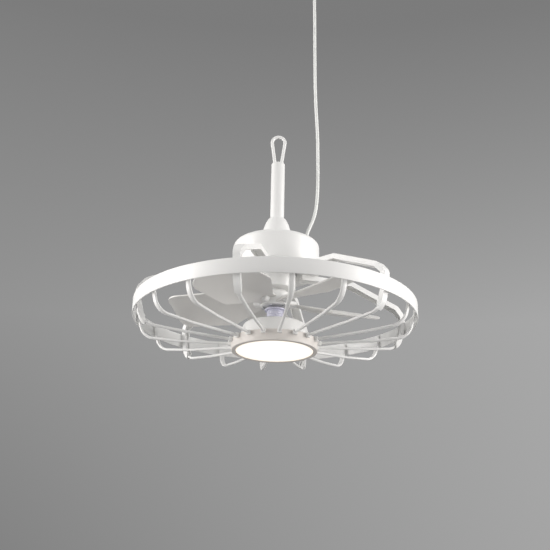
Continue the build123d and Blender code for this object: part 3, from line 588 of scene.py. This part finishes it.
def rib_mesh(in_arm):
    """One rib along +X, with its end block; one in an arm's channel is set in by the arm's wall."""
    line, bends, root = rib_line(), RIB_BENDS, RIB_ROOT_WIDTH
    if in_arm:
        inside = ARM_WALL + SEAT_GAP
        line = beside(line, inside)[:-1] + line[-1:]
        bends = [RIB_BENDS[0] - inside, RIB_BENDS[1] - inside, RIB_BENDS[2]]
        root = ARM_RIB_WIDTH
    taper_end, root_end = [BAND_FACE - inset for inset in RIB_TAPER_INSETS]

    def section_at(middle):
        half_width = (RIB_WIDTH + (root - RIB_WIDTH) * eased(middle.x, taper_end, root_end)) / 2
        return [(side * half_width, rise) for side, rise in rounded_section()]

    bm = bmesh.new()
    loft_on_rails(bm, line, bends, RIB_DEPTH, section_at)
    length, width, height = RIB_BLOCK
    block = bmesh.new()
    bmesh.ops.create_cube(block, size=1)
    bmesh.ops.scale(block, vec=(length, width, height), verts=block.verts)
    bmesh.ops.translate(block, vec=(RIB_END_R + length / 2, 0, RIB_END_Z), verts=block.verts)
    bmesh.ops.bevel(block, geom=block.edges[:], offset=0.8, offset_type="OFFSET", segments=3,
                    profile=0.5, affect="EDGES", clamp_overlap=True, material=-1)
    joined(bm, block)
    return bm


def make_guard_ribs():
    for first in range(0, RIB_COUNT, RIBS_PER_NODE):
        pair = bmesh.new()
        for index in range(first, first + RIBS_PER_NODE):
            rib = rib_mesh(index in ARM_RIBS)
            turned_to(rib, RIB_FIRST_AZIMUTH + 360 / RIB_COUNT * index)
            joined(pair, rib)
        number = first // RIBS_PER_NODE + 1
        piece(f"guard_ribs_{number}", pair, "frame", "white_paint", [f"guard_rib_pair_{number}"], sharp=50)


def channel_section(middle):
    """A channel open below and inwards, narrower on the arm's leg than on its run."""
    narrow, wide = ARM_HALF_WIDTHS
    half = narrow + (wide - narrow) * eased(middle.y, *ARM_TAPER_HEIGHTS)
    inside = half - ARM_WALL
    under = 1 - 2 * ARM_WALL / ARM_DEPTH
    return [(-half, -1), (-half, 1), (half, 1), (half, -1),
            (inside, -1), (inside, under), (-inside, under), (-inside, -1)]


def cut_foot(bm):
    """Cuts a leg's lower end off upright, short of the rib's bar, and closes the cut."""
    low = [face for face in bm.faces if all(vert.co.z < FOOT_BELOW_Z for vert in face.verts)]
    edges = {edge for face in low for edge in face.edges}
    verts = {vert for face in low for vert in face.verts}
    bmesh.ops.bisect_plane(bm, geom=[*verts, *edges, *low], dist=0.0001, clear_inner=True,
                           plane_co=(BAND_FACE - ARM_FOOT_INSET, 0, 0), plane_no=(1, 0, 0))
    bmesh.ops.holes_fill(bm, edges=[edge for edge in bm.edges if edge.is_boundary], sides=0)
    bmesh.ops.recalc_face_normals(bm, faces=bm.faces)


def make_guard_arms():
    face_r = BAND_FACE - SEAT_GAP
    run = [(ARM_START_R, BASE_LOW.z), (BASE_HIGH.x, BASE_LOW.z),
           (ARM_SHOULDER_R, BASE_LOW.z - ARM_SHOULDER_DROP), (face_r - ARM_CORNER_INSET, ARM_CORNER_Z),
           (face_r, ARM_TURN_Z)]
    line = run + rib_line()[1:4]
    bends = [ARM_BEND] * (len(run) - 1) + RIB_BENDS[:2]
    for number, index in enumerate(ARM_RIBS, 1):
        bm = bmesh.new()
        loft_on_rails(bm, line, bends, ARM_DEPTH, channel_section)
        cut_foot(bm)
        turned_to(bm, RIB_FIRST_AZIMUTH + 360 / RIB_COUNT * index)
        piece(f"channel_arm_{number}", bm, "frame", "white_paint", [f"guard_arm_{number}"],
              edge=0.45, sharp=30)


# Motor housing, stem and loop
def make_housing():
    bm = bmesh.new()
    radius, top, low = COVER_HIGH.x, COVER_HIGH.z, COVER_LOW.z
    wall = HOUSING_WALL
    lathe(bm, [(STEM_HOLE_R, top), (radius, top), (radius, low + 0.5), (radius - 0.5, low),
               (radius - wall, low), (radius - wall, top - wall), (STEM_HOLE_R, top - wall)], steps=192)
    round_rim(bm, radius, top, HOUSING_ROUND, 10)
    round_rim(bm, radius - wall, top - wall, HOUSING_ROUND - wall, 6)
    piece("housing_drum", bm, "frame", "white_paint", ["housing_cover"], sharp=40)


def make_bell():
    bm = bmesh.new()
    low, top = BELL_LOW.z, BELL_HIGH.z
    outer = bent_line([(BELL_HIGH.x, low), (BELL_HIGH.x - 0.3, low + 3.2), BELL_WAIST, BELL_SHOULDER,
                       (BELL_LIP_R, top - 1.2), (BELL_TOP_R, top)], (2.4, 26, 9, 3), 6)
    outline = [tuple(point) for point in outer] + [(STEM_HOLE_R, top), (STEM_HOLE_R, low)]
    lathe(bm, outline, steps=128)
    piece("stem_bell", bm, "frame", "white_paint", ["bell_collar"], sharp=42)


def make_set_screw():
    """The socket screw in the bell's side, flush with the bell; its dark finish is partly painted shade for
    the hole round it.
    """
    bm = bmesh.new()
    lathe(bm, [(0, -SOCKET_DEPTH), (SOCKET_R, -SOCKET_DEPTH), (SOCKET_R, 0), (SET_SCREW_R, 0),
               (SET_SCREW_R, -SET_SCREW_LENGTH), (0, -SET_SCREW_LENGTH)], steps=24)
    sideways = Matrix.Translation((SET_SCREW_END_R, 0, SET_SCREW_Z)) @ Matrix.Rotation(math.pi / 2, 4, "Y")
    bmesh.ops.transform(bm, matrix=sideways, verts=bm.verts)
    turned_to(bm, SET_SCREW_AZIMUTH)
    # The dark finish is the screw's own colour and also painted shade for the bell's hole, which is not
    # modelled
    piece("bell_set_screw", bm, "frame", "rubber_seal", sharp=40)


def make_stem():
    bm = bmesh.new()
    lathe(bm, [(STEM_BORE_R, STEM_LOW.z), (STEM_HIGH.x, STEM_LOW.z), (STEM_HIGH.x, STEM_HIGH.z),
               (STEM_BORE_R, STEM_HIGH.z)], steps=96)
    round_rim(bm, STEM_HIGH.x, STEM_HIGH.z, 1.4, 4)
    piece("stem", bm, "frame", "white_paint", ["stem_tube"], sharp=40)


def pushed(bm, rim, offset):
    """Draws a wire's open end on along a straight run, and returns its new end."""
    made = bmesh.ops.extrude_edge_only(bm, edges=rim)["geom"]
    verts = [item for item in made if isinstance(item, bmesh.types.BMVert)]
    bmesh.ops.translate(bm, vec=offset, verts=verts)
    return [item for item in made if isinstance(item, bmesh.types.BMEdge) and item.is_boundary]


def bent(bm, rim, centre, degrees, steps):
    """Draws a wire's open end on round a bend in the XZ plane, and returns its new end."""
    made = bmesh.ops.spin(bm, geom=rim, cent=centre, axis=(0, 1, 0), dvec=(0, 0, 0),
                          angle=math.radians(degrees), steps=steps, use_merge=False, use_duplicate=False)
    return [item for item in made["geom_last"] if isinstance(item, bmesh.types.BMEdge)]


def make_loop():
    """Two legs, two leaning flanks and a bow, drawn as one bent wire."""
    bow_z = LOOP_HIGH.z - WIRE_R - BOW_R
    reach = Vector((LEG_X, LEG_BEND_Z - bow_z))
    flank = math.sqrt(reach.length_squared - BOW_R ** 2)
    lean = math.acos(BOW_R / reach.length) + math.atan2(reach.y, reach.x)
    setback = LEG_BEND_R * math.tan(abs(lean) / 2)
    tilt = math.degrees(abs(lean))
    bm = bmesh.new()
    rim = bmesh.ops.create_circle(bm, cap_ends=False, radius=WIRE_R, segments=24)["verts"]
    bmesh.ops.translate(bm, vec=(LEG_X, 0, LOOP_LOW.z), verts=rim)
    rim = pushed(bm, bm.edges[:], (0, 0, LEG_BEND_Z - setback - LOOP_LOW.z))
    rim = bent(bm, rim, (LEG_X + LEG_BEND_R, 0, LEG_BEND_Z - setback), tilt, 4)
    run = (flank - setback) * Vector((math.sin(abs(lean)), 0, math.cos(lean)))
    rim = pushed(bm, rim, run)
    rim = bent(bm, rim, (0, 0, bow_z), -180 - 2 * tilt, 40)
    rim = pushed(bm, rim, Vector((run.x, 0, -run.z)))
    rim = bent(bm, rim, (-LEG_X - LEG_BEND_R, 0, LEG_BEND_Z - setback), tilt, 4)
    pushed(bm, rim, (0, 0, LOOP_LOW.z - LEG_BEND_Z + setback))
    bmesh.ops.holes_fill(bm, edges=bm.edges, sides=0)
    bmesh.ops.recalc_face_normals(bm, faces=bm.faces)
    piece("wire_loop", bm, "frame", "white_wire", ["hanging_loop"], sharp=60)


# Rotor
def make_motor_cup():
    bm = bmesh.new()
    low, seam, radius = CUP_LOW.z, CUP_HIGH.z, CUP_HIGH.x
    inner, floor = radius - CUP_WALL, low + CUP_FLOOR
    lathe(bm, [(BEARING_SEAT_R, low), (radius, low), (radius, seam), (inner, seam), (inner, floor),
               (BEARING_SEAT_R, floor)], steps=128)
    round_rim(bm, radius, low, 1.6, 4)
    piece("motor_cup", bm, "rotor", "white_paint", ["rotor_cup"], sharp=40)
    lid = bmesh.new()
    seat = BEARING_SEAT_R + BEARING_COLLAR
    lathe(lid, [(ROTOR_BORE_R, LID_HIGH.z), (radius, LID_HIGH.z), (radius, seam), (seat, seam),
                (seat, LID_LOW.z), (BEARING_SEAT_R, LID_LOW.z), (BEARING_SEAT_R, seam),
                (ROTOR_BORE_R, seam)], steps=128)
    round_rim(lid, radius, LID_HIGH.z, 1.6, 4)
    piece("motor_lid", lid, "rotor", "white_paint", ["rotor_lid"], sharp=40)


def blade_outline():
    """The blade's plan along +X, with round corners."""
    root, full, tip = BLADE_HALF_CHORDS
    side = [(BLADE_ROOT_R, root), (BLADE_NECK_R, root), (BLADE_FULL_R, full), (BLADE_TIP_R, tip)]
    corners = [(radius, -half) for radius, half in side] + side[::-1]
    return bent_line(corners, (8, 26, 24, 24, 26, 8), 8)


def make_blades():
    for number in range(1, BLADE_COUNT + 1):
        bm = bmesh.new()
        face = bm.faces.new([bm.verts.new((point.x, point.y, 0)) for point in blade_outline()])
        for offset in BLADE_CUTS_ACROSS:
            bmesh.ops.bisect_plane(bm, geom=bm.verts[:] + bm.edges[:] + bm.faces[:], dist=0.0001,
                                   plane_co=(0, offset, 0), plane_no=(0, 1, 0))
        for radius in BLADE_CUTS_ALONG:
            bmesh.ops.bisect_plane(bm, geom=bm.verts[:] + bm.edges[:] + bm.faces[:], dist=0.0001,
                                   plane_co=(radius, 0, 0), plane_no=(1, 0, 0))
        for vert in bm.verts:
            vert.co.z = math.sqrt(BLADE_CAMBER_R ** 2 - vert.co.y ** 2) - BLADE_CAMBER_R + BLADE_THICKNESS / 2
        bmesh.ops.recalc_face_normals(bm, faces=bm.faces)
        if bm.faces[:][0].normal.z < 0:
            bmesh.ops.reverse_faces(bm, faces=bm.faces)
        place_blade(bm, number)
        blade = piece(f"blade_{number}", bm, "rotor", "blade_plastic", [f"fan_blade_{number}"], sharp=50)
        wall = blade.modifiers.new("wall", "SOLIDIFY")
        wall.thickness = BLADE_THICKNESS * MM
        wall.offset = -1
        wall.use_rim = True
        soft = blade.modifiers.new("soft_rim", "BEVEL")
        soft.width = BLADE_EDGE * MM
        soft.segments = 3
        soft.limit_method = "ANGLE"
        soft.angle_limit = math.radians(50)
        make_blade_clip(number)


def place_blade(bm, number):
    """Pitches a blade made along +X, and turns it to its own angle."""
    angle = math.radians(BLADE_FIRST_ANGLE + 360 / BLADE_COUNT * (number - 1))
    place = Matrix.Rotation(angle, 4, "Z") @ Matrix.Translation((0, 0, BLADE_PLANE_Z)) @ Matrix.Rotation(
        math.radians(BLADE_PITCH), 4, "X")
    bmesh.ops.transform(bm, matrix=place, verts=bm.verts)


def make_blade_clip(number):
    """The round boss that clamps a blade's root just outside the hub."""
    bm = bmesh.new()
    lathe(bm, [(0, 0), (CLIP_R, 0), (CLIP_R, CLIP_LENGTH), (0, CLIP_LENGTH)], steps=40)
    round_rim(bm, CLIP_R, CLIP_LENGTH, 4.0, 6)
    lying = Matrix.Translation((HUB_HIGH.x + SEAT_GAP, 0, 0)) @ Matrix.Rotation(math.pi / 2, 4, "Y")
    bmesh.ops.transform(bm, matrix=lying, verts=bm.verts)
    place_blade(bm, number)
    piece(f"blade_clip_{number}", bm, "rotor", "white_plastic", sharp=40)


def make_hub():
    bm = bmesh.new()
    top = HUB_SHOULDER_Z
    lathe(bm, [(ROTOR_BORE_R, HUB_LOW.z), (HUB_HIGH.x, HUB_LOW.z), (HUB_HIGH.x, top), (HUB_NECK_R, top),
               (HUB_NECK_R, HUB_HIGH.z), (ROTOR_BORE_R, HUB_HIGH.z)], steps=112)
    round_rim(bm, HUB_HIGH.x, HUB_LOW.z, 2.2, 5)
    round_rim(bm, HUB_HIGH.x, top, 2.2, 5)
    round_rim(bm, HUB_NECK_R, top, 1.0, 3)
    piece("hub", bm, "rotor", "white_plastic", ["blade_hub"], sharp=40)


# Lamp
def make_neck():
    """A ribbed sleeve: rings swell from it at even steps, under a flange."""
    bm = bmesh.new()
    flange_low = NECK_HIGH.z - NECK_FLANGE
    per_ring = 10
    count = NECK_RINGS * per_ring
    step = (flange_low - NECK_LOW.z) / count
    wavy = []
    for index in range(count + 1):
        swell = max(math.sin(math.tau * index / per_ring), 0) ** 0.7
        wavy.append((NECK_R + NECK_SWELL * swell, NECK_LOW.z + step * index))
    outline = [(NECK_BORE_R, NECK_LOW.z), *wavy, (NECK_HIGH.x, flange_low), (NECK_HIGH.x, NECK_HIGH.z),
               (NECK_BORE_R, NECK_HIGH.z)]
    lathe(bm, outline, steps=80)
    piece("ribbed_neck", bm, "frame", "neck_plastic", ["lamp_neck"], edge=0.3, sharp=50)


def make_lamp():
    shell = bmesh.new()
    top, low = LAMP_HIGH.z, LAMP_FLANGE_Z
    outer = bent_line([(LAMP_BORE_R, top), (LAMP_TOP_R, top), (LAMP_FOOT_R, low)], (7.0,), 8)
    flange_r = DIFFUSER_HIGH.x
    outline = [tuple(point) for point in outer] + [
        (flange_r, low), (flange_r, low - LAMP_FLANGE), (LAMP_FOOT_R - 2.5, low - LAMP_FLANGE),
        (LAMP_TOP_R - 1.5, top - 8), (LAMP_TOP_R - 8, top - LAMP_ROOF), (LAMP_BORE_R, top - LAMP_ROOF)]
    lathe(shell, outline, steps=160)
    piece("lamp_shell", shell, "frame", "white_paint", ["lamp_housing"], edge=0.3, sharp=42)
    bezel = bmesh.new()
    radius, bottom = BEZEL_HIGH.x, BEZEL_LOW.z
    lathe(bezel, [(radius, low), (radius, bottom), (BEZEL_LIP_R, bottom),
                  (BEZEL_LIP_R, bottom + BEZEL_LIP), (BEZEL_BORE_R, bottom + BEZEL_LIP),
                  (BEZEL_BORE_R, low)], steps=192)
    round_rim(bezel, radius, bottom, 1.3, 4)
    round_rim(bezel, radius, low, 0.8, 3)
    round_rim(bezel, BEZEL_LIP_R, bottom, 0.6, 3)
    piece("lamp_ring", bezel, "frame", "lamp_trim", ["lamp_bezel"], sharp=42)
    plate = bmesh.new()
    face_z, back_z = DIFFUSER_LOW.z, DIFFUSER_HIGH.z
    step_z = back_z - DIFFUSER_RIM
    window_r = BEZEL_LIP_R - SEAT_GAP
    lathe(plate, [(0, back_z), (DIFFUSER_HIGH.x, back_z), (DIFFUSER_HIGH.x, step_z), (window_r, step_z),
                  (window_r, face_z + 0.2), (window_r - 0.6, face_z), (0, face_z)], steps=160)
    piece("opal_diffuser", plate, "frame", "diffuser", ["lamp_diffuser"], sharp=42)


# Power cord
def make_cord():
    curve = bpy.data.curves.new("mains_cord", "CURVE")
    curve.dimensions = "3D"
    curve.bevel_depth = CORD_R
    curve.bevel_resolution = 6
    curve.resolution_u = 16
    curve.use_fill_caps = True
    line = curve.splines.new("NURBS")
    line.points.add(len(CORD_ROUTE) - 1)
    for point, (x, z) in zip(line.points, CORD_ROUTE):
        point.co = (x, CORD_Y, z, 1)
    line.order_u = 3
    line.use_endpoint_u = True
    curve.materials.append(FINISH["cord_jacket"])
    obj = bpy.data.objects.new("mains_cord", curve)
    bpy.context.scene.collection.objects.link(obj)
    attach(obj, "frame")
    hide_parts("power_cord")
    return obj


make_guard_band()
make_guard_ribs()
make_guard_arms()
make_housing()
make_bell()
make_set_screw()
make_stem()
make_loop()
make_motor_cup()
make_blades()
make_hub()
make_neck()
make_lamp()
mains_cord = make_cord()
for node_name, node_object in frame["nodes"].items():
    node_object.data.materials.clear()
    node_object.data.materials.append(FINISH[SLOT_OF_NODE[node_name]])
    if not node_object.hide_render:
        dressed(node_name)


# Stage, lights and camera
FLOOR_Z = -1.45


def make_floor():
    bm = bmesh.new()
    bmesh.ops.create_grid(bm, x_segments=1, y_segments=1, size=4.0)
    mesh = bpy.data.meshes.new("floor")
    bm.to_mesh(mesh)
    bm.free()
    floor = bpy.data.objects.new("floor", mesh)
    bpy.context.scene.collection.objects.link(floor)
    floor.location = (0, 0, FLOOR_Z)
    material, tree, shader = new_material("pale_floor")
    shade_fac = noise(tree, tree.nodes.new("ShaderNodeTexCoord").outputs["Object"], 3.0)
    ramp = tree.nodes.new("ShaderNodeValToRGB")
    ramp.color_ramp.elements[0].color = (0.34, 0.34, 0.34, 1)
    ramp.color_ramp.elements[1].color = (0.38, 0.38, 0.38, 1)
    tree.links.new(shade_fac, ramp.inputs[0])
    tree.links.new(ramp.outputs["Color"], shader.inputs["Base Color"])
    shader.inputs["Roughness"].default_value = 0.7
    mesh.materials.append(material)


# Backdrop greys paint shade that darkens the backdrop high up; the side term paints light falling from the
# right, fading upwards
BACKDROP_LEVELS = ((0.05, 0.30), (0.30, 0.34), (0.60, 0.20))
BACKDROP_TOP = 0.60
PAINTED_SIDE_LIGHT = 0.9
SIDE_REACH = 0.3
SKY_LEVELS = ((0.0, 0.10), (0.42, 0.20), (0.56, 0.38), (1.0, 0.42))


def level_ramp(tree, value, stops):
    """A ramp of greys over a value."""
    ramp = tree.nodes.new("ShaderNodeValToRGB")
    (first, low), *between, (last, high) = stops
    ramp.color_ramp.elements[0].position = first
    ramp.color_ramp.elements[0].color = (low, low, low, 1)
    ramp.color_ramp.elements[1].position = last
    ramp.color_ramp.elements[1].color = (high, high, high, 1)
    for position, level in between:
        ramp.color_ramp.elements.new(position).color = (level, level, level, 1)
    tree.links.new(value, ramp.inputs[0])
    return ramp.outputs["Color"]


def make_world():
    """A grey studio backdrop with painted light falling from the right and painted shade high up and to the
    left, with a sky of its own to light the object.
    """
    world = bpy.data.worlds.new("grey_studio")
    world.use_nodes = True
    bpy.context.scene.world = world
    tree = world.node_tree
    tree.nodes.clear()
    place = tree.nodes.new("ShaderNodeTexCoord").outputs["Generated"]
    split = tree.nodes.new("ShaderNodeSeparateXYZ")
    tree.links.new(place, split.inputs[0])
    lifted = maths(tree, "MULTIPLY", split.outputs["Z"], 1 / BACKDROP_TOP)
    fade = maths(tree, "MINIMUM", maths(tree, "SUBTRACT", 1.0, lifted), 1.0)
    side = maths(tree, "MINIMUM", maths(tree, "MAXIMUM", split.outputs["X"], -SIDE_REACH), SIDE_REACH)
    # Painted light on the backdrop: brighter to the right, darker to the left, fading out upwards
    painted_side_light = maths(tree, "MULTIPLY", maths(tree, "MULTIPLY", side, PAINTED_SIDE_LIGHT), fade)
    seen = tree.nodes.new("ShaderNodeBackground")
    tree.links.new(level_ramp(tree, split.outputs["Z"], BACKDROP_LEVELS), seen.inputs["Color"])
    tree.links.new(maths(tree, "ADD", painted_side_light, 1.0), seen.inputs["Strength"])
    lighting = tree.nodes.new("ShaderNodeBackground")
    rise = maths(tree, "ADD", maths(tree, "MULTIPLY", split.outputs["Z"], 0.5), 0.5)
    tree.links.new(level_ramp(tree, rise, SKY_LEVELS), lighting.inputs["Color"])
    rays = tree.nodes.new("ShaderNodeLightPath")
    mix = tree.nodes.new("ShaderNodeMixShader")
    tree.links.new(rays.outputs["Is Camera Ray"], mix.inputs[0])
    tree.links.new(lighting.outputs[0], mix.inputs[1])
    tree.links.new(seen.outputs[0], mix.inputs[2])
    output = tree.nodes.new("ShaderNodeOutputWorld")
    tree.links.new(mix.outputs[0], output.inputs["Surface"])


def softbox(name, place, target, size, watts):
    light = bpy.data.lights.new(name, "AREA")
    light.shape = "RECTANGLE"
    light.size, light.size_y = size
    light.energy = watts
    light.color = (1.0, 0.975, 0.955)
    obj = bpy.data.objects.new(name, light)
    bpy.context.scene.collection.objects.link(obj)
    obj.location = place
    obj.rotation_mode = "QUATERNION"
    obj.rotation_quaternion = (Vector(target) - Vector(place)).to_track_quat("-Z", "Y")


def make_lights():
    middle = (0, 0, -0.3)
    softbox("left_softbox", (-1.8, -0.5, -0.2), middle, (0.9, 1.6), 34)
    softbox("right_softbox", (1.8, -0.5, -0.2), middle, (0.9, 1.6), 34)
    softbox("top_softbox", (0, 0.2, 1.9), middle, (1.6, 1.6), 6)
    softbox("front_softbox", (0, -2.6, 0.7), middle, (1.8, 1.2), 6)


def make_camera():
    data = bpy.data.cameras.new("photo_camera")
    data.sensor_width = 36
    data.lens = CAMERA_LENS
    camera = bpy.data.objects.new("photo_camera", data)
    bpy.context.scene.collection.objects.link(camera)
    right = Vector((math.cos(CAMERA_YAW), -math.sin(CAMERA_YAW), 0))
    level = math.cos(CAMERA_PITCH)
    ahead = Vector((math.sin(CAMERA_YAW) * level, math.cos(CAMERA_YAW) * level, math.sin(CAMERA_PITCH)))
    upward = right.cross(ahead)
    image_right = math.cos(CAMERA_ROLL) * right + math.sin(CAMERA_ROLL) * upward
    image_up = -math.sin(CAMERA_ROLL) * right + math.cos(CAMERA_ROLL) * upward
    axes = Matrix((image_right, image_up, -ahead)).transposed()
    camera.matrix_world = Matrix.Translation(CAMERA_PLACE) @ axes.to_4x4()
    bpy.context.scene.camera = camera


make_floor()
make_world()
make_lights()
make_camera()
bpy.context.scene.view_settings.view_transform = "Standard"
